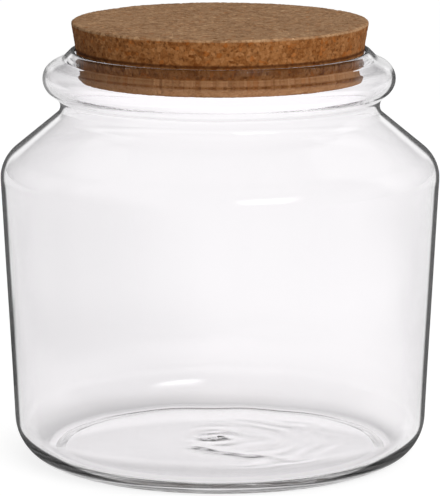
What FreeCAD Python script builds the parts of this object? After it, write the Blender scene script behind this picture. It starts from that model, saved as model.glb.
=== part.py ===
import FreeCAD, Part
import math
import os
from collections import namedtuple

# Glass jar, in millimetres: the foot stands on z = 0 and everything is round about Z
jar_height = 169.0        # foot to the top of the rim
body_diameter = 180.4     # widest, where the wall meets the shoulder
wall_draft = 5.2          # how far the wall draws in from the shoulder down to the heel
heel_radius = 18.5        # wall to toe
toe_radius = 10.0         # tighter roll from the heel to the foot ring
toe_reach = 4.0           # how far the toe's centre lies outside the heel's
foot_ring_width = 2.0     # flat that the jar stands on
foot_edge_radius = 1.5    # inner edge of the foot ring
recess_rise = 0.8         # shallow recess under the base
recess_flank = 4.0        # straight run from the foot ring's edge up to the recess
recess_edge_radius = 3.0  # hollow where that run meets the recess
shoulder_radius = 14.5    # wall to shoulder
shoulder_slope = 22.7     # straight run of the shoulder's cone
waist_diameter = 131.0    # narrowest, between shoulder and collar
waist_radius = 5.0        # hollow round the waist
collar_proud = 6.8        # how far the rolled collar stands out from the waist
collar_radius = 7.2       # roll of the collar
collar_flank = 2.8        # straight run from the waist's hollow to the collar's roll
lip_flank = 3.2           # straight run from the collar's roll to the lip's root
lip_root_radius = 2.5     # hollow where the lip rises from the collar
lip_lean = 1.6            # how far the lip leans in over its own root
mouth_inset = 6.4         # how far the rim reaches in from the waist
rim_thickness = 3.0       # bead round the mouth
wall = 2.4                # glass of wall, shoulder and collar
base_thickness = 3.9      # foot ring to the top of the floor
inner_heel_radius = 12.5  # wall to floor inside

# Cork lid, wedged in the mouth
cork_stand = 12.0         # above the rim
cork_depth = 11.8         # below the rim
cork_taper = 9.8          # degrees of each side
cork_edge_radius = 0.8    # worn edges of both faces
seat_clearance = 0.3      # between the cork's side and the rim's bead

# One round stretch of an outline in the (r, z) half plane; turn is 1 to the left and -1 to the right
Curve = namedtuple("Curve", "r z radius turn")
OUTWARD = 0.0
INWARD = math.pi
SAME_POINT = 1e-7


def point_at(curve, heading):
    reach = curve.turn * curve.radius
    return FreeCAD.Vector(curve.r + reach * math.sin(heading), 0, curve.z - reach * math.cos(heading))


# Heading of the straight run that is tangent to two curves, or of the point where they touch
def tangent_heading(first, second):
    across = second.r - first.r
    rise = second.z - first.z
    offset = second.turn * second.radius - first.turn * first.radius
    lean = max(-1, min(1, offset / math.hypot(across, rise)))
    return math.atan2(rise, across) - math.asin(lean)


# Centres of two curves that turn opposite ways and are joined by a straight run: one leg from the other
def other_leg(radii, flank, leg):
    return math.sqrt(flank**2 + radii**2 - leg**2)


# Solid of revolution whose outline runs outward from the axis, round the curves and back to the axis
def turned_solid(curves):
    headings = [tangent_heading(first, second) for first, second in zip(curves, curves[1:])]
    heading = OUTWARD
    last = FreeCAD.Vector(0, 0, point_at(curves[0], OUTWARD).z)
    start = last
    edges = []
    for curve, raw in zip(curves, headings + [INWARD]):
        turned = (raw - heading) * curve.turn % (2 * math.pi)
        begin = point_at(curve, heading)
        middle = point_at(curve, heading + curve.turn * turned / 2)
        heading += curve.turn * turned
        end = point_at(curve, heading)
        if not last.isEqual(begin, SAME_POINT):
            edges.append(Part.LineSegment(last, begin).toShape())
        edges.append(Part.Arc(begin, middle, end).toShape())
        last = end
    top = FreeCAD.Vector(0, 0, last.z)
    if not last.isEqual(top, SAME_POINT):
        edges.append(Part.LineSegment(last, top).toShape())
    edges.append(Part.LineSegment(top, start).toShape())
    face = Part.Face(Part.Wire(edges))
    return face.revolve(FreeCAD.Vector(0, 0, 0), FreeCAD.Vector(0, 0, 1), 360)


# The same stretch on the inner side of the glass, run the other way
def inner_side(curve):
    return Curve(curve.r, curve.z, curve.radius - curve.turn * wall, -curve.turn)


# Curves of the rim, lip, collar, waist and shoulder, worked out from the rim down
def neck_curves():
    neck_r = waist_diameter / 2
    rim_radius = rim_thickness / 2
    rim = Curve(neck_r - mouth_inset + rim_radius, jar_height - rim_radius, rim_radius, 1)
    root_r = rim.r + rim.radius + lip_root_radius + lip_lean
    lip_root = Curve(root_r, rim.z, lip_root_radius, -1)
    collar_r = neck_r + collar_proud - collar_radius
    collar_drop = other_leg(lip_root_radius + collar_radius, lip_flank, root_r - collar_r)
    collar = Curve(collar_r, lip_root.z - collar_drop, collar_radius, 1)
    waist_r = neck_r + waist_radius
    waist_drop = other_leg(collar_radius + waist_radius, collar_flank, waist_r - collar_r)
    waist = Curve(waist_r, collar.z - waist_drop, waist_radius, -1)
    shoulder_r = body_diameter / 2 - shoulder_radius
    shoulder_drop = other_leg(waist_radius + shoulder_radius, shoulder_slope, shoulder_r - waist_r)
    shoulder = Curve(shoulder_r, waist.z - shoulder_drop, shoulder_radius, 1)
    return shoulder, waist, collar, lip_root, rim


# Recess, foot ring, toe and heel, with the inner heel above them
def base_curves():
    wall_foot_r = body_diameter / 2 - wall_draft
    heel_r = wall_foot_r - heel_radius
    toe = Curve(heel_r + toe_reach, toe_radius, toe_radius, 1)
    heel_rise = math.sqrt((heel_radius - toe_radius) ** 2 - toe_reach**2)
    heel = Curve(heel_r, toe.z + heel_rise, heel_radius, 1)
    foot_edge = Curve(toe.r - foot_ring_width, foot_edge_radius, foot_edge_radius, 1)
    recess_z = recess_rise - recess_edge_radius
    recess_reach = other_leg(foot_edge_radius + recess_edge_radius, recess_flank, foot_edge.z - recess_z)
    recess = Curve(foot_edge.r - recess_reach, recess_z, recess_edge_radius, -1)
    inner_r = wall_foot_r - wall - inner_heel_radius
    inner_heel = Curve(inner_r, base_thickness + inner_heel_radius, inner_heel_radius, -1)
    return recess, foot_edge, toe, heel, inner_heel


def glass_jar():
    *foot, inner_heel = base_curves()
    neck = neck_curves()
    inside = [inner_side(curve) for curve in reversed(neck[:-1])]
    return turned_solid([*foot, *neck, *inside, inner_heel])


# The cork's side passes the rim's bead at the seat clearance
def cork_lid():
    rim = neck_curves()[-1]
    slope = math.tan(math.radians(cork_taper))
    edge_inset = cork_edge_radius / math.cos(math.radians(cork_taper))
    seat_r = rim.r - (rim.radius + seat_clearance) / math.cos(math.radians(cork_taper))
    edges = []
    for edge_z in (
        jar_height - cork_depth + cork_edge_radius,
        jar_height + cork_stand - cork_edge_radius,
    ):
        side_r = seat_r + slope * (edge_z - rim.z)
        edges.append(Curve(side_r - edge_inset, edge_z, cork_edge_radius, 1))
    return turned_solid(edges)


os.makedirs("parts", exist_ok=True)
for name, shape in (("glass_jar", glass_jar()), ("cork_lid", cork_lid())):
    shape.exportStep(f"parts/{name}.step")
    box = shape.optimalBoundingBox(False)
    print(name, shape.ShapeType, shape.isValid(), len(shape.Solids), len(shape.Faces))
    print(f"  volume {shape.Volume:.0f} mm3, width {box.XLength:.2f}, z {box.ZMin:.3f} to {box.ZMax:.3f}")
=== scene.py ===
import math
from collections import namedtuple

import bmesh
import bpy
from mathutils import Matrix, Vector, noise


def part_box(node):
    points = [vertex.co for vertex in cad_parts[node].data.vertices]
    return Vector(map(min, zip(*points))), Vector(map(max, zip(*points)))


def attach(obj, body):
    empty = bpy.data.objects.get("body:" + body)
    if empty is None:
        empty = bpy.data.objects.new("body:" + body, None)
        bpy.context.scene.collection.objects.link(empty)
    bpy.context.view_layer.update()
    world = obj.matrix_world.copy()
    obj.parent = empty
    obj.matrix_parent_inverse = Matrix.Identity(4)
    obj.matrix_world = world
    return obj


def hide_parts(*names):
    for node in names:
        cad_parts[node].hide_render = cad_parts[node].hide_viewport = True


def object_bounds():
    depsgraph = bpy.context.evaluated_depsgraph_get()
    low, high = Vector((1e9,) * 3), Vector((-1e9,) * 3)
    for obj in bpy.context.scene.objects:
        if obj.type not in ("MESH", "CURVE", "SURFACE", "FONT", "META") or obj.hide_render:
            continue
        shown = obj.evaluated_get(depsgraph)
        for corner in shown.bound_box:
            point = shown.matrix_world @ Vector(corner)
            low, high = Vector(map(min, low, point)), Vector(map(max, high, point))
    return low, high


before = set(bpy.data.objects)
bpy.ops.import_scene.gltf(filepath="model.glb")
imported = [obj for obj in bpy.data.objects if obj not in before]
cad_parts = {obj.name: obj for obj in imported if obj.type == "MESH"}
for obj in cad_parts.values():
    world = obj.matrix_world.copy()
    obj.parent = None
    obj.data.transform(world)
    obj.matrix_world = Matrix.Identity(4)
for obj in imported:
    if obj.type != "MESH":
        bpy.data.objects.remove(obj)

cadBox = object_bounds()
mm = 0.001
print("frame loaded", sorted(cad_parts))


# Shader sums: a Wire is an output socket that takes part in Python expressions
class Wire:
    def __init__(self, tree, socket):
        self.tree = tree
        self.socket = socket

    def other(self, name):
        return Wire(self.tree, self.socket.node.outputs[name])

    def maths(self, operation, left, right):
        made = self.tree.nodes.new("ShaderNodeMath")
        made.operation = operation
        plug(self.tree, made.inputs[0], left)
        plug(self.tree, made.inputs[1], right)
        return Wire(self.tree, made.outputs[0])

    def __add__(self, value):
        return self.maths("ADD", self, value)

    def __radd__(self, value):
        return self.maths("ADD", value, self)

    def __sub__(self, value):
        return self.maths("SUBTRACT", self, value)

    def __rsub__(self, value):
        return self.maths("SUBTRACT", value, self)

    def __mul__(self, value):
        return self.maths("MULTIPLY", self, value)

    def __rmul__(self, value):
        return self.maths("MULTIPLY", value, self)

    def __truediv__(self, value):
        return self.maths("DIVIDE", self, value)

    def __pow__(self, value):
        return self.maths("POWER", self, value)

    def atMost(self, value):
        return self.maths("MINIMUM", self, value)

    def atLeast(self, value):
        return self.maths("MAXIMUM", self, value)


def plug(tree, entry, value):
    if isinstance(value, Wire):
        tree.links.new(value.socket, entry)
    else:
        entry.default_value = value


# One finish, or the world: its nodes are added one by one
class Recipe:
    def __init__(self, owner):
        owner.use_nodes = True
        self.owner = owner
        self.tree = owner.node_tree
        self.tree.nodes.clear()

    def node(self, kind, settings=None, sockets=None, out=0):
        made = self.tree.nodes.new("ShaderNode" + kind)
        for name, value in (settings or {}).items():
            if name == "stops":
                self.setStops(made.color_ramp, value)
            else:
                setattr(made, name, value)
        for name, value in (sockets or {}).items():
            plug(self.tree, made.inputs[name], value)
        return Wire(self.tree, made.outputs[out])

    def setStops(self, ramp, stops):
        while len(ramp.elements) < len(stops):
            ramp.elements.new(0.5)
        for element, (position, tone) in zip(ramp.elements, stops):
            element.position = position
            element.color = screenColour(*tone)

    # Straight climb from the least at the first value to the most at the second
    def climb(self, value, start, end, most=1.0, least=0.0, kind="LINEAR"):
        sockets = {"Value": value, "From Min": start, "From Max": end, "To Min": least, "To Max": most}
        return self.node("MapRange", {"interpolation_type": kind}, sockets)

    # The same as a smooth step
    def ease(self, value, start, end, most=1.0, least=0.0):
        return self.climb(value, start, end, most, least, "SMOOTHSTEP")

    # 1 between two values, with soft ends
    def band(self, value, start, end, soft):
        return self.ease(value, start - soft, start + soft) * self.ease(value, end + soft, end - soft)

    def blend(self, factor, first, second):
        return self.node("Mix", {"data_type": "RGBA"}, {0: factor, 6: first, 7: second}, out=2)

    def mix(self, factor, first, second):
        return self.node("MixShader", {}, {0: factor, 1: first, 2: second})

    def seeThrough(self, colour):
        return self.node("BsdfTransparent", {}, {"Color": colour})

    def shine(self, colour, strength=1.0, kind="Emission"):
        return self.node(kind, {}, {"Color": colour, "Strength": strength})

    def finish(self, shader, kind="OutputMaterial"):
        output = self.tree.nodes.new("ShaderNode" + kind)
        self.tree.links.new(shader.socket, output.inputs["Surface"])
        return self.owner


# A colour as seen on screen, 0 to 255, in the renderer's own linear values
def screenColour(red, green, blue):
    linear = []
    for value in (red, green, blue):
        share = value / 255
        linear.append(share / 12.92 if share <= 0.04045 else ((share + 0.055) / 1.055) ** 2.4)
    return (*linear, 1.0)


def grey(level):
    return (level, level, level, 1.0)


# Smooth step from 0 at the start to 1 at the end
def easeBetween(value, start, end):
    share = max(0, min(1, (value - start) / (end - start)))
    return share * share * (3 - 2 * share)


# 1 between the two middle values, easing to 0 at the outer ones
def plateau(value, start, full, last, end):
    return easeBetween(value, start, full) * easeBetween(value, end, last)


def startPiece():
    if bpy.context.mode != "OBJECT":
        bpy.ops.object.mode_set(mode="OBJECT")
    bpy.ops.object.select_all(action="DESELECT")


def applyAll(obj):
    startPiece()
    bpy.context.view_layer.objects.active = obj
    obj.select_set(True)
    for modifier in list(obj.modifiers):
        bpy.ops.object.modifier_apply(modifier=modifier.name)


# Displacement that only cuts into the surface, full where the pattern is black
def wearInward(obj, name, kind, size, depth, settings, stops=None):
    pattern = bpy.data.textures.new(name, kind)
    pattern.noise_scale = size
    for setting, value in settings.items():
        setattr(pattern, setting, value)
    if stops:
        pattern.use_color_ramp = True
        for element, (position, level) in zip(pattern.color_ramp.elements, stops):
            element.position = position
            element.color = grey(level)
    push = obj.modifiers.new(name, "DISPLACE")
    push.texture = pattern
    push.texture_coords = "LOCAL"
    push.mid_level = 1.0
    push.strength = depth


# Glass jar: a section drawn from spun arcs and straight runs, then spun round the axis
jarLow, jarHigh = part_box("glass_jar")
glassJar = {
    "height": jarHigh[2],
    "bodyRadius": min(jarHigh[0], -jarLow[0]),
    "wallDraft": 5.2 * mm,
    "recessRise": 0.8 * mm,
    "recessFlank": 4.0 * mm,
    "recessEdge": 3.0 * mm,
    "footEdge": 1.5 * mm,
    "footRingWidth": 2.0 * mm,
    "toeRadius": 10.0 * mm,
    "toeReach": 4.0 * mm,
    "heelRadius": 18.5 * mm,
    "innerHeel": 12.5 * mm,
    "shoulderRadius": 14.5 * mm,
    "shoulderSlope": 22.7 * mm,
    "waistRadius": 65.5 * mm,
    "waistHollow": 5.0 * mm,
    "collarProud": 6.8 * mm,
    "collarRoll": 7.2 * mm,
    "collarFlank": 2.8 * mm,
    "lipFlank": 3.2 * mm,
    "lipRoot": 2.5 * mm,
    "lipLean": 1.6 * mm,
    "mouthInset": 6.4 * mm,
    "rimThickness": 3.0 * mm,
    "wall": 2.4 * mm,
    "base": 3.9 * mm,
    "arcStep": 0.8 * mm,      # longest edge on a round stretch
    "leastSteps": 4,          # and the fewest edges there
    "runStep": 2.5 * mm,      # longest edge on a straight run
    "floorStep": 0.8 * mm,    # and on the floor inside, which is wrinkled
    "sides": 192,
    "mergeGap": 0.001 * mm,   # points closer than this are one
    "waveSize": 38 * mm,      # slow waves in the blown wall, which only thin it
    "waveDepth": 0.16 * mm,
    "waveFade": (14 * mm, 40 * mm),    # heights over which they set in
    "collarShift": 0.4 * mm,  # how far the rolled collar sits off centre
    "collarSpan": (147 * mm, 153 * mm, 161 * mm, 165 * mm),
    "floorGap": 0.01 * mm,    # points this close to the floor's height lie on it
    "scarPlace": (-1 * mm, 9 * mm),
    "scarSize": (8 * mm, 16 * mm),     # wrinkled scar in the middle of the floor
    "scarGrain": 5.5 * mm,
    "scarTwist": 0.6,         # how fast its wrinkles curl round the middle
    "scarSlice": 3,           # where the noise is cut for it
    "scarDepth": 0.5 * mm,
    "fold": [(-9, -8), (0, -16), (10, -21), (22, -24), (34, -33)],   # one long fold beside it, in mm
    "foldWidth": 3.4 * mm,
    "foldDepth": 0.26 * mm,
    "foldFade": (36 * mm, 8 * mm),     # it runs out to the right
    "ringStep": 11 * mm,      # faint rings spun into the floor on its right
    "ringDepth": 0.035 * mm,
    "ringDrift": 0.6,         # how far they wander, in ring steps
    "ringDriftSize": 16.5 * mm,
    "ringReach": 58 * mm,     # where they end, and where they are full
    "ringFull": 40.6 * mm,
    "ringSide": (0, 24 * mm),
}
rounding = 1e-6   # slack that keeps a whole number of steps whole

# A round stretch of the section: its centre, its radius, and turn 1 to the left or -1 to the right
Bend = namedtuple("Bend", "r z radius turn")


def pointAt(bend, heading):
    reach = bend.turn * bend.radius
    return (bend.r + reach * math.sin(heading), bend.z - reach * math.cos(heading))


# Heading of the straight run that is tangent to two bends, or of the point where they touch
def tangentHeading(first, second):
    across = second.r - first.r
    rise = second.z - first.z
    offset = second.turn * second.radius - first.turn * first.radius
    return math.atan2(rise, across) - math.asin(max(-1, min(1, offset / math.hypot(across, rise))))


# Height between the centres of two bends that turn opposite ways, with a straight flank between them
def riseBetween(first, secondR, secondRadius, flank):
    return math.sqrt(flank**2 + (first.radius + secondRadius) ** 2 - (secondR - first.r) ** 2)


# Worked out from the rim down
def neckBends(size):
    rimRadius = size["rimThickness"] / 2
    rim = Bend(size["waistRadius"] - size["mouthInset"] + rimRadius, size["height"] - rimRadius, rimRadius, 1)
    lipRoot = Bend(rim.r + rimRadius + size["lipRoot"] + size["lipLean"], rim.z, size["lipRoot"], -1)
    collarR = size["waistRadius"] + size["collarProud"] - size["collarRoll"]
    collarDrop = riseBetween(lipRoot, collarR, size["collarRoll"], size["lipFlank"])
    collar = Bend(collarR, lipRoot.z - collarDrop, size["collarRoll"], 1)
    waistR = size["waistRadius"] + size["waistHollow"]
    waistDrop = riseBetween(collar, waistR, size["waistHollow"], size["collarFlank"])
    waist = Bend(waistR, collar.z - waistDrop, size["waistHollow"], -1)
    shoulderR = size["bodyRadius"] - size["shoulderRadius"]
    shoulderDrop = riseBetween(waist, shoulderR, size["shoulderRadius"], size["shoulderSlope"])
    shoulder = Bend(shoulderR, waist.z - shoulderDrop, size["shoulderRadius"], 1)
    return [shoulder, waist, collar, lipRoot, rim]


# Recess, foot ring, toe and heel, with the inner heel last
def baseBends(size):
    wallFootR = size["bodyRadius"] - size["wallDraft"]
    heelR = wallFootR - size["heelRadius"]
    toe = Bend(heelR + size["toeReach"], size["toeRadius"], size["toeRadius"], 1)
    heelRise = math.sqrt((size["heelRadius"] - size["toeRadius"]) ** 2 - size["toeReach"] ** 2)
    heel = Bend(heelR, toe.z + heelRise, size["heelRadius"], 1)
    footEdge = Bend(toe.r - size["footRingWidth"], size["footEdge"], size["footEdge"], 1)
    rolls = size["footEdge"] + size["recessEdge"]
    recessReach = math.sqrt(size["recessFlank"] ** 2 + rolls**2 - (rolls - size["recessRise"]) ** 2)
    recess = Bend(footEdge.r - recessReach, size["recessRise"] - size["recessEdge"], size["recessEdge"], -1)
    innerHeelR = wallFootR - size["wall"] - size["innerHeel"]
    innerHeel = Bend(innerHeelR, size["base"] + size["innerHeel"], size["innerHeel"], -1)
    return [recess, footEdge, toe, heel, innerHeel]


# Round the section: up the outside, over the rim and down the inside
def jarBends(size):
    *foot, innerHeel = baseBends(size)
    neck = neckBends(size)
    inside = []
    for bend in reversed(neck[:-1]):
        inside.append(Bend(bend.r, bend.z, bend.radius - bend.turn * size["wall"], -bend.turn))
    return [*foot, *neck, *inside, innerHeel]


def extrudeRun(start, end, longest):
    parts = math.ceil(math.dist(start, end) / longest - rounding)
    for _ in range(parts):
        step = ((end[0] - start[0]) / parts, 0, (end[1] - start[1]) / parts)
        bpy.ops.mesh.extrude_region_move(TRANSFORM_OT_translate={"value": step})


def drawSection(bends, size):
    headings = [tangentHeading(first, second) for first, second in zip(bends, bends[1:])] + [math.pi]
    heading = 0.0
    place = (0.0, pointAt(bends[0], heading)[1])
    bpy.ops.mesh.primitive_plane_add(size=size["arcStep"], location=(0, 0, 0))
    bpy.ops.object.mode_set(mode="EDIT")
    bpy.ops.mesh.merge(type="CENTER")
    bpy.ops.transform.translate(value=(place[0], 0, place[1]))
    for bend, raw in zip(bends, headings):
        extrudeRun(place, pointAt(bend, heading), size["runStep"])
        turned = (raw - heading) * bend.turn % (2 * math.pi)
        steps = max(size["leastSteps"], math.ceil(turned * bend.radius / size["arcStep"]))
        bpy.ops.mesh.spin(steps=steps, angle=turned, center=(bend.r, 0, bend.z), axis=(0, bend.turn, 0))
        heading += bend.turn * turned
        place = pointAt(bend, heading)
    extrudeRun(place, (0.0, place[1]), size["floorStep"])


def makeJar(size):
    startPiece()
    drawSection(jarBends(size), size)
    bpy.ops.mesh.select_all(action="SELECT")
    bpy.ops.mesh.spin(steps=size["sides"], angle=2 * math.pi, center=(0, 0, 0), axis=(0, 0, 1))
    bpy.ops.mesh.select_all(action="SELECT")
    bpy.ops.mesh.remove_doubles(threshold=size["mergeGap"])
    bpy.ops.mesh.normals_make_consistent(inside=False)
    bpy.ops.object.mode_set(mode="OBJECT")
    bpy.ops.object.shade_smooth()
    jar = bpy.context.object
    jar.name = jar.data.name = "blownJar"
    return jar


# Distance from a place on the floor to a line of points
def lineDistance(place, points):
    nearest = math.inf
    for first, second in zip(points, points[1:]):
        run = second - first
        share = max(0, min(1, (place - first).dot(run) / run.length_squared))
        nearest = min(nearest, (place - first - share * run).length)
    return nearest


# Height of the floor's wrinkled scar, long fold and rings at one place
def floorWrinkle(place, size):
    grain = size["scarGrain"]
    offset = place - Vector((*size["scarPlace"], 0))
    wide, deep = size["scarSize"]
    fade = math.exp(-((offset.x / wide) ** 2) - (offset.y / deep) ** 2)
    around = size["scarTwist"] * math.atan2(offset.y, offset.x) * grain
    curl = Vector((offset.length, around, size["scarSlice"] * grain))
    scar = size["scarDepth"] * fade * noise.noise(curl / grain, noise_basis="PERLIN_ORIGINAL")
    points = [Vector((x * mm, y * mm, 0)) for x, y in size["fold"]]
    fold = size["foldDepth"] * math.exp(-((lineDistance(place, points) / size["foldWidth"]) ** 2))
    fold *= easeBetween(place.x, *size["foldFade"])
    drift = size["ringDrift"] * noise.noise(place / size["ringDriftSize"])
    rings = size["ringDepth"] * math.sin(2 * math.pi * (offset.length / size["ringStep"] + drift))
    rings *= easeBetween(place.length, size["ringReach"], size["ringFull"])
    rings *= easeBetween(place.x, *size["ringSide"])
    return scar + fold + rings


# Hand-made unevenness: wrinkles in the floor, a collar off centre and slow waves in the wall
def settleGlass(jar, size):
    waves = jar.vertex_groups.new(name="waves")
    for vertex in jar.data.vertices:
        place = vertex.co
        flat = Vector((place.x, place.y, 0))
        if abs(place.z - size["base"]) < size["floorGap"] and flat.length < size["ringReach"]:
            place.z += floorWrinkle(flat, size)
        place.x -= size["collarShift"] * plateau(place.z, *size["collarSpan"])
        waves.add([vertex.index], easeBetween(place.z, *size["waveFade"]), "REPLACE")
    wearInward(jar, "waves", "CLOUDS", size["waveSize"], size["waveDepth"], {"noise_depth": 1})
    jar.modifiers["waves"].vertex_group = "waves"
    applyAll(jar)


# Finish of the glass: spans are heights over the foot with a soft end, sides are places across the jar. Its
# dark outline is painted shade, thicker or paler by height and side
glassFinish = {
    "tint": (1.0, 0.99, 1.0, 1.0),
    "index": 1.51,
    "inside": (0, 0, 80 * mm),     # a place inside the jar, which tells the outer side from the inner
    "edgeOn": (0.775, 0.83),       # how grazing the view is where the painted dark outline begins, and is full
    "edgeDark": 0.84,
    "edgeShadeColour": grey(0.05),
    "edgeFoot": (2.2 * mm, 5.2 * mm),            # it sets in above the foot
    "slender": 0.02,               # thinner on the shoulder
    "slenderSpan": (119 * mm, 149 * mm, 6 * mm),
    "stout": 0.23,                 # much thicker round the toe
    "stoutSpan": (15 * mm, 8.5 * mm),
    "heavy": 0.03,                 # painted shade a little thicker on the right of the collar
    "heavySpan": (150 * mm, 160 * mm, 3 * mm),
    "heavySide": (-20 * mm, 50 * mm),
    "faint": 0.3,                  # paler on its left
    "faintSpan": (149 * mm, 162 * mm, 3 * mm),
    "faintSide": (50 * mm, -50 * mm),
    "lipFaint": 0.75,              # and on the slope up to the lip
    "lipSpan": (161.5 * mm, 166.2 * mm, 1 * mm),
    "front": (10 * mm, -10 * mm),  # from the back of the jar to its front
    "bend": 0.8,                   # share of glass that only bends light, in front of the cork
    "bendSpan": (154 * mm, 170 * mm, 1 * mm),
    "bendSide": (58 * mm, 52 * mm),
    "rimClear": 0.55,              # share of the rim's top that is see-through there
    "rimSpan": (167.6 * mm, 168.4 * mm),
    "rimSide": (59 * mm, 54 * mm),
    "streakSide": (6 * mm, 20 * mm, 3 * mm),     # a stretch of the rim that mirrors fully
    "streakSpan": (166.6 * mm, 167.2 * mm),
    "passed": (0.97, 0.97, 0.975, 1.0),          # light that passes on to the shadow
    "passedDim": grey(0.25),       # and where the glass is seen edge on, at the toe and at the lip
    "dimPower": 3,
    "toeSpan": (16 * mm, 2 * mm),
    "toeReach": (69 * mm, 73 * mm),
    "lipDim": 0.4,
    "lipDimSpan": (163.5 * mm, 166 * mm),
}


# Share of painted shade, a dark outline where the glass is seen edge on, on the outer side only
def paintedShadeOutline(recipe, look, place, across, grazing):
    height = across.other("Z")
    slender = look["slender"] * recipe.band(height, *look["slenderSpan"])
    stout = recipe.ease(height, *look["stoutSpan"], look["stout"])
    heavy = recipe.band(height, *look["heavySpan"]) * recipe.ease(across, *look["heavySide"], look["heavy"])
    dark = recipe.ease(grazing - slender + stout + heavy, *look["edgeOn"], look["edgeDark"])
    left = recipe.band(height, *look["faintSpan"]) * recipe.ease(across, *look["faintSide"])
    lip = recipe.band(height, *look["lipSpan"])
    faint = (look["faint"] * left).atLeast(look["lipFaint"] * lip)
    outward = recipe.node("VectorMath", {"operation": "SUBTRACT"}, {0: place, 1: look["inside"]})
    facing = {0: outward, 1: place.other("Normal")}
    side = recipe.node("VectorMath", {"operation": "DOT_PRODUCT"}, facing, "Value")
    outer = recipe.node("Math", {"operation": "GREATER_THAN"}, {0: side, 1: 0.0})
    return dark * (1 - faint) * outer * recipe.ease(height, *look["edgeFoot"])


# The glass itself: in front of the cork it hardly mirrors, apart from one streak on the rim
def glassBody(recipe, look, across):
    height = across.other("Z")
    front = recipe.ease(across.other("Y"), *look["front"])
    aside = (across**2) ** 0.5
    streak = recipe.band(across, *look["streakSide"])
    bent = recipe.band(height, *look["bendSpan"]) * front
    bent = bent * recipe.ease(aside, *look["bendSide"], look["bend"])
    bent = bent * (1 - streak * recipe.ease(height, *look["streakSpan"]))
    rimTop = recipe.ease(height, *look["rimSpan"]) * front
    rimTop = rimTop * recipe.ease(aside, *look["rimSide"], look["rimClear"]) * (1 - streak)
    glass = recipe.node("BsdfPrincipled", {}, {
        "Base Color": look["tint"],
        "Roughness": 0.0,
        "IOR": look["index"],
        "Transmission Weight": 1.0,
    })
    bending = recipe.node("BsdfRefraction", {}, {
        "Color": look["tint"],
        "Roughness": 0.0,
        "IOR": look["index"],
    })
    return recipe.mix(rimTop, recipe.mix(bent, glass, bending), recipe.seeThrough(grey(1.0)))


# What the glass lets through on the way to its shadow
def glassShadow(recipe, look, across, grazing):
    height = across.other("Z")
    reach = (across**2 + across.other("Y") ** 2) ** 0.5
    toe = recipe.ease(height, *look["toeSpan"]) * recipe.climb(reach, *look["toeReach"])
    lip = recipe.ease(height, *look["lipDimSpan"], look["lipDim"])
    dimmed = (grazing ** look["dimPower"]).atLeast(toe).atLeast(lip)
    return recipe.mix(dimmed, recipe.seeThrough(look["passed"]), recipe.seeThrough(look["passedDim"]))


def clearGlass(look):
    recipe = Recipe(bpy.data.materials.new("clearGlass"))
    camera = recipe.node("LightPath", out="Is Camera Ray")
    place = recipe.node("TexCoord", out="Object")
    across = recipe.node("SeparateXYZ", {}, {0: place}, "X")
    grazing = recipe.node("LayerWeight", {}, {"Blend": 0.5}, "Facing")
    # painted shade: the dark outline is laid over the glass for camera rays only
    outline = paintedShadeOutline(recipe, look, place, across, grazing) * camera
    lined = recipe.mix(outline, glassBody(recipe, look, across), recipe.seeThrough(look["edgeShadeColour"]))
    passing = (camera.other("Is Shadow Ray") + camera.other("Is Diffuse Ray")).atMost(1)
    return recipe.finish(recipe.mix(passing, lined, glassShadow(recipe, look, across, grazing)))


jar = makeJar(glassJar)
settleGlass(jar, glassJar)
jar.data.materials.append(clearGlass(glassFinish))
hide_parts("glass_jar")
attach(jar, "jar")
print("jar made", len(jar.data.polygons), "faces")


# Cork lid: a tapered disc, remeshed finely, then waved, grained and pitted from its surface inwards
corkLow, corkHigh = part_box("cork_lid")
corkLid = {
    "taper": math.radians(9.8),
    "edgeRadius": 0.8 * mm,
    "edgeSteps": 4,
    "sides": 256,
    "voxel": 0.6 * mm,
    "smoothing": 4,
    "seat": (163 * mm, 166 * mm, 169.5 * mm, 172 * mm),   # heights where it sits in the rim and stays round
    "waveSize": 18 * mm,       # slow unevenness of the hand-cut faces
    "waveDepth": 0.35 * mm,
    "granuleSize": 2.0 * mm,   # pressed granules, with seams between them
    "granuleDepth": 0.5 * mm,
    "granuleStops": [(0.0, 0.7), (0.12, 1.0)],
    "pitSize": 2.6 * mm,       # where granules have broken out
    "pitDepth": 0.5 * mm,
    "pitStops": [(0.26, 0.0), (0.34, 1.0)],
}


def taperedDisc(size):
    tall = corkHigh[2] - corkLow[2]
    edge = size["edgeRadius"]
    slope = math.tan(size["taper"])
    topRadius = (corkHigh[0] - corkLow[0]) / 2 + edge * (slope + 1 / math.cos(size["taper"]) - 1)
    bpy.ops.mesh.primitive_cone_add(
        vertices=size["sides"],
        radius1=topRadius - tall * slope,
        radius2=topRadius,
        depth=tall,
        location=(0, 0, (corkLow[2] + corkHigh[2]) / 2),
    )
    bpy.ops.object.transform_apply(location=True, rotation=False, scale=False)
    disc = bpy.context.object
    bpy.ops.object.mode_set(mode="EDIT")
    bpy.ops.mesh.select_mode(type="EDGE")
    edit = bmesh.from_edit_mesh(disc.data)
    for line in edit.edges:
        line.select_set(abs(line.verts[0].co.z - line.verts[1].co.z) < edge)
    bmesh.update_edit_mesh(disc.data)
    bpy.ops.mesh.bevel(offset=edge, segments=size["edgeSteps"], affect="EDGES")
    bpy.ops.object.mode_set(mode="OBJECT")
    return disc


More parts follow.
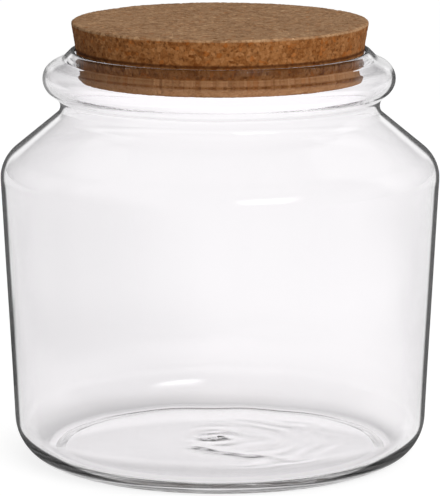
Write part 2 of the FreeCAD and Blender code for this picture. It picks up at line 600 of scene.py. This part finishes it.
def makeCork(size):
    startPiece()
    cork = taperedDisc(size)
    cork.name = cork.data.name = "corkStopper"
    remesh = cork.modifiers.new("even", "REMESH")
    remesh.mode = "VOXEL"
    remesh.voxel_size = size["voxel"]
    smooth = cork.modifiers.new("smooth", "SMOOTH")
    smooth.iterations = size["smoothing"]
    applyAll(cork)
    loose = cork.vertex_groups.new(name="loose")
    for vertex in cork.data.vertices:
        loose.add([vertex.index], 1 - plateau(vertex.co.z, *size["seat"]), "REPLACE")
    wearInward(cork, "wave", "CLOUDS", size["waveSize"], size["waveDepth"], {"noise_depth": 1})
    cork.modifiers["wave"].vertex_group = "loose"
    for name, kind, extra in (
        ("granule", "VORONOI", {"weight_1": -1.0, "weight_2": 1.0}),
        ("pit", "CLOUDS", {"noise_depth": 2}),
    ):
        wearInward(cork, name, kind, size[name + "Size"], size[name + "Depth"], extra, size[name + "Stops"])
    applyAll(cork)
    bpy.ops.object.shade_smooth()
    return cork


# Finish of the cork: tones are colours on screen, scales are cells or waves to the metre
corkFinish = {
    "topEdge": (1.6 * mm, 0.9 * mm),     # below the top face, where the side's tones give way to the face's paler, greyer tones, which are partly the cut face's own tone and partly painted sheen
    "driftScale": 700.0,                 # bends the granules' edges
    "drift": 1.1 * mm,
    "granuleScale": 560.0,
    "crumbScale": 1150.0,
    "dustScale": 2600.0,
    "patchScale": 60.0,
    "granuleShare": 0.42,                # how much each of them says in the tone
    "crumbShare": 0.24,
    "dustShare": 0.36,
    "patchShare": 0.3,
    "toneShift": 0.01,
    "sideTones": [
        (0.15, (110, 60, 22)),
        (0.35, (138, 86, 44)),
        (0.6, (156, 104, 60)),
        (0.85, (176, 122, 76)),
    ],
    "faceSheenTones": [
        (0.1, (118, 82, 50)),
        (0.4, (165, 126, 91)),
        (0.65, (179, 140, 103)),
        (0.9, (212, 172, 132)),
    ],
    "footSpan": (6 * mm, 3.6 * mm),      # painted light: paler lower end, above the lower face, as if lit through the glass
    "paintedLightTone": (186, 132, 88),
    "paintedLightShare": 0.55,
    "emberSpan": (0.88, 0.94),           # reddish granules
    "emberShare": (0.5, 0.25, 0.35),     # on the side, and how much less on the top and on the lower end
    "emberTone": (168, 94, 36),
    "speckSpan": (0.86, 0.92),           # dark crumbs
    "speckShare": (0.45, 0.25, 0.3),
    "speckTone": (74, 38, 14),
    "seamSpan": (0.09, 0.02),            # seams between granules
    "seamShare": (0.25, 0.1, 0.15),
    "seamTone": (92, 54, 24),
    "rimShadeSpan": (169.1 * mm, 170.3 * mm, 0.4 * mm),       # painted shade: dark line just above the rim, where the gap between cork and rim lies in shadow
    "rimShadeShare": (0.4, 0.7),             # at the least, and more by dust
    "rimShadeTone": (66, 28, 6),
    "bumpStrength": 0.35,
    "bumpHeight": 0.3 * mm,
    "bumpShares": (0.6, 0.5, 0.5),       # crumbs and dust raise it, seams lower it
    "roughness": (0.72, 0.2),            # at the least, and more by dust
    "gloss": 0.08,
}


def pressedCork(look):
    recipe = Recipe(bpy.data.materials.new("pressedCork"))
    place = recipe.node("TexCoord", out="Object")
    height = recipe.node("SeparateXYZ", {}, {0: place}, "Z")
    top = recipe.ease(height, *[corkHigh[2] - drop for drop in look["topEdge"]])
    foot = recipe.ease(height, *[corkLow[2] + rise for rise in look["footSpan"]])

    waves = {"Vector": place, "Scale": look["driftScale"], "Detail": 2.0}
    drift = {0: recipe.node("TexNoise", {}, waves, "Color"), 1: (look["drift"],) * 3, 2: place}
    bent = recipe.node("VectorMath", {"operation": "MULTIPLY_ADD"}, drift)
    cells = {"Vector": bent, "Scale": look["granuleScale"]}
    granules = recipe.node("TexVoronoi", {}, cells, "Color")
    gap = recipe.node("TexVoronoi", {"feature": "DISTANCE_TO_EDGE"}, cells, "Distance")
    crumbs = recipe.node("TexVoronoi", {}, {"Vector": bent, "Scale": look["crumbScale"]}, "Color")
    granule = recipe.node("SeparateColor", {}, {"Color": granules}, "Red")
    crumb = recipe.node("SeparateColor", {}, {"Color": crumbs}, "Red")
    dust = recipe.node("TexNoise", {}, {"Vector": place, "Scale": look["dustScale"], "Detail": 3.0}, "Fac")
    patch = recipe.node("TexNoise", {}, {"Vector": place, "Scale": look["patchScale"], "Detail": 2.0}, "Fac")
    tone = look["granuleShare"] * granule + look["crumbShare"] * crumb + look["dustShare"] * dust
    tone = tone + look["patchShare"] * (patch - 0.5) - look["toneShift"]

    side = recipe.node("ValToRGB", {"stops": look["sideTones"]}, {"Fac": tone})
    # top face tones: the cut face's own tone, made paler and greyer partly as painted sheen
    face = recipe.node("ValToRGB", {"stops": look["faceSheenTones"]}, {"Fac": tone})
    # painted light: the lower end is blended towards a paler tone
    pale = recipe.blend(look["paintedLightShare"], face, screenColour(*look["paintedLightTone"]))
    colour = recipe.blend(foot, recipe.blend(top, side, face), pale)
    ember = recipe.ease(granule.other("Green"), *look["emberSpan"])
    speck = recipe.ease(crumb.other("Green"), *look["speckSpan"])
    seam = recipe.ease(gap, *look["seamSpan"])
    for name, mark in (("ember", ember), ("speck", speck), ("seam", seam)):
        share, offTop, offFoot = look[name + "Share"]
        mark = mark * (share - offTop * top - offFoot * foot)
        colour = recipe.blend(mark, colour, screenColour(*look[name + "Tone"]))
    # painted shade: a dark band on the cork just above the rim, varied by dust
    rimShadeLeast, rimShadeDust = look["rimShadeShare"]
    seat = recipe.band(height, *look["rimShadeSpan"]) * (rimShadeLeast + rimShadeDust * dust).atMost(1)
    colour = recipe.blend(seat, colour, screenColour(*look["rimShadeTone"]))

    crumbBump, dustBump, seamBump = look["bumpShares"]
    grain = recipe.node("Bump", {}, {
        "Strength": look["bumpStrength"],
        "Distance": look["bumpHeight"],
        "Height": crumbBump * crumb + dustBump * dust - seamBump * seam,
    })
    roughLeast, roughDust = look["roughness"]
    cork = recipe.node("BsdfPrincipled", {}, {
        "Base Color": colour,
        "Roughness": roughLeast + roughDust * dust,
        "Specular IOR Level": look["gloss"],
        "Normal": grain,
    })
    return recipe.finish(cork)


cork = makeCork(corkLid)
cork.data.materials.append(pressedCork(corkFinish))
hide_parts("cork_lid")
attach(cork, "lid")
print("cork made", len(cork.data.polygons), "faces")


# Pale table, in metres from the jar's foot, and how bright it is as seen through the glass: light and shade
# are painted on it by place
paleTable = {
    "size": 40.0,
    "gap": 0.05 * mm,
    "colour": grey(0.8),
    "white": 0.6,                 # share of plain white where the camera sees it directly
    "glow": 0.6,                  # lifts the table to white, times the shares below
    # painted shade and light: darker towards the left, lighter to the right
    "leftShare": 0.64,
    "rightShare": 1.03,
    "sideSpan": (-0.14, 0.0),
    "nearDim": 0.2,               # painted shade close behind the jar
    "nearSpan": (0.36, 0.1),
    "nearStart": (0.0, 0.09),
    "nearSide": (-0.12, -0.02),   # most of it off the left
    "nearLeast": 0.3,
    "farLift": 0.18,              # painted light far behind it
    "farSpan": (0.5, 0.75),
    "rightDim": 0.3,              # painted shade on the far right
    "rightSpan": (0.06, 0.16),
    "underLift": 0.12,            # painted light under the jar itself
    "underReach": (0.09, 0.07),
    "leftLift": 0.08,             # and painted light close to its left
    "leftSpan": (-0.03, -0.08),
    "leftReach": (0.22, 0.15),
    "roomColour": grey(0.05),     # painted shade in what the glass mirrors there, but for the part behind the jar
    "roomTurn": (0.8, -0.6),
    "roomReach": (0.13, 0.3),
}


def tableFinish(look):
    recipe = Recipe(bpy.data.materials.new("paleTable"))
    camera = recipe.node("LightPath", out="Is Camera Ray")
    across = recipe.node("SeparateXYZ", {}, {0: recipe.node("TexCoord", out="Object")}, "X")
    back = across.other("Y")
    reach = (across**2 + back**2) ** 0.5
    sides = recipe.climb(across, *look["sideSpan"], look["rightShare"], look["leftShare"])
    near = recipe.ease(back, *look["nearSpan"], look["nearDim"]) * recipe.ease(back, *look["nearStart"])
    near = near * recipe.ease(across, *look["nearSide"], least=look["nearLeast"])
    far = recipe.ease(back, *look["farSpan"], look["farLift"])
    right = recipe.ease(across, *look["rightSpan"], look["rightDim"])
    under = recipe.ease(reach, *look["underReach"], look["underLift"])
    left = recipe.ease(across, *look["leftSpan"]) * recipe.ease(reach, *look["leftReach"], look["leftLift"])
    # painted light and shade: a glow that lifts the table by place, except for diffuse rays
    lifted = camera.atLeast(sides - near + far - right + under + left) * (1 - camera.other("Is Diffuse Ray"))

    paper = recipe.node("BsdfDiffuse", {}, {"Color": look["colour"]})
    lift = recipe.mix(lifted, recipe.shine(grey(0.0), 0.0), recipe.shine(grey(1.0), look["glow"]))
    lit = recipe.node("AddShader", {}, {0: paper, 1: lift})
    turned = recipe.ease(back / reach, *look["roomTurn"])
    away = recipe.ease(reach, *look["roomReach"])
    mirrored = camera.other("Glossy Depth").atMost(1) * turned * away
    mirror = recipe.mix(mirrored, lit, recipe.shine(look["roomColour"]))
    return recipe.finish(recipe.mix(camera * look["white"], mirror, recipe.shine(grey(1.0))))


def layTable(size):
    startPiece()
    bpy.ops.mesh.primitive_plane_add(size=size["size"], location=(0, 0, cadBox[0][2] - size["gap"]))
    table = bpy.context.object
    table.name = "table"
    table.data.materials.append(tableFinish(size))


# Studio: soft light all round, and the room that the glass mirrors; spans are parts of a unit direction
studio = {
    "fill": 0.68,                   # even light, less of it from the left
    "fillLeft": 0.05,
    "fillSpan": (-0.9, 0.2),
    "roomColour": grey(0.05),       # mirrored in front and at the sides
    "backColour": grey(0.95),       # mirrored behind
    "backSpan": (0.55, 0.75),
    "backNarrow": 0.6,              # less of it to either side
    "backRise": (0.28, 0.2),
    "overhead": 0.22,               # share of that colour overhead
    "overheadRise": (0.65, 0.85),
    "leftRoom": 0.35,               # and in the far corners of the room
    "leftSpan": (-0.25, -0.45),
    "rightRoom": 0.6,
    "rightSpan": (0.25, 0.45),
    "cornerSpan": (0.1, 0.3),
    "glintStrength": 5.0,           # a soft box in front, in what the glass mirrors once
    "glintAcross": (0.2, 0.56, 0.1),
    "glintUp": (0.36, 0.52, 0.1),
    "glintFront": (-0.2, -0.4),
    "glintDepth": (1.75, 1.25),
    "keyPlace": (0.9, -1.9, 1.2),
    "keyPower": 29.0,
    "keySize": (1.4, 1.0),
}


def studioWorld(look):
    world = bpy.data.worlds.new("studio")
    bpy.context.scene.world = world
    recipe = Recipe(world)
    camera = recipe.node("LightPath", out="Is Camera Ray")
    mirrorings = camera.other("Glossy Depth")
    across = recipe.node("SeparateXYZ", {}, {0: recipe.node("TexCoord", out="Generated")}, "X")
    back = across.other("Y")
    up = across.other("Z")

    straightBack = back - look["backNarrow"] * (across**2) ** 0.5
    behind = recipe.ease(straightBack, *look["backSpan"]) * recipe.ease(up, *look["backRise"])
    overhead = recipe.ease(up, *look["overheadRise"], look["overhead"])
    left = recipe.ease(across, *look["leftSpan"], look["leftRoom"])
    right = recipe.ease(across, *look["rightSpan"], look["rightRoom"])
    corners = (left + right) * recipe.ease(back, *look["cornerSpan"])
    softBox = recipe.band(across, *look["glintAcross"]) * recipe.band(up, *look["glintUp"])
    once = recipe.ease(mirrorings, *look["glintDepth"])
    glint = softBox * once * recipe.ease(back, *look["glintFront"])

    dark = recipe.shine(look["roomColour"], kind="Background")
    pale = recipe.shine(look["backColour"], kind="Background")
    window = recipe.shine(grey(1.0), look["glintStrength"], "Background")
    room = recipe.mix(glint, recipe.mix(behind.atLeast(overhead).atLeast(corners), dark, pale), window)
    fill = recipe.ease(across, *look["fillSpan"], look["fill"], look["fillLeft"])
    seen = (camera + camera.other("Is Transmission Ray")).atMost(1)
    white = recipe.shine(grey(1.0), kind="Background")
    plain = recipe.mix(seen, recipe.shine(grey(1.0), fill, "Background"), white)
    recipe.finish(recipe.mix(mirrorings.atMost(1), plain, room), "OutputWorld")


def hangKeyLamp(size):
    startPiece()
    bpy.ops.object.light_add(type="AREA", location=size["keyPlace"])
    lamp = bpy.context.object
    lamp.name = "keyLamp"
    lamp.data.shape = "RECTANGLE"
    lamp.data.size, lamp.data.size_y = size["keySize"]
    lamp.data.energy = size["keyPower"]
    away = lamp.location - Vector((0, 0, cadBox[1][2] / 2))
    lamp.rotation_euler = away.to_track_quat("Z", "Y").to_euler()
    lamp.visible_glossy = lamp.visible_transmission = False


layTable(paleTable)
studioWorld(studio)
hangKeyLamp(studio)

# Camera at the photograph's place: 10.65 degrees down on the jar from 1.6 m in front
view = {
    "place": (0, -1600 * mm, 387.2 * mm),
    "down": math.radians(10.65),
    "sensor": 36,
    "focalPixels": 3947,     # focal length, on the scale of the frame's height
    "framePixels": 496,
    "bounces": 48,           # light crosses many walls of glass
}


def placeCamera(view):
    startPiece()
    bpy.ops.object.camera_add(location=view["place"], rotation=(math.pi / 2 - view["down"], 0, 0))
    camera = bpy.context.object
    camera.data.sensor_width = view["sensor"]
    camera.data.lens = view["focalPixels"] / view["framePixels"] * view["sensor"]
    bpy.context.scene.camera = camera


placeCamera(view)
bpy.context.scene.view_settings.view_transform = "Standard"
bpy.context.scene.cycles.max_bounces = view["bounces"]
bpy.context.scene.cycles.glossy_bounces = view["bounces"]
bpy.context.scene.cycles.transmission_bounces = view["bounces"]
print("stage set")
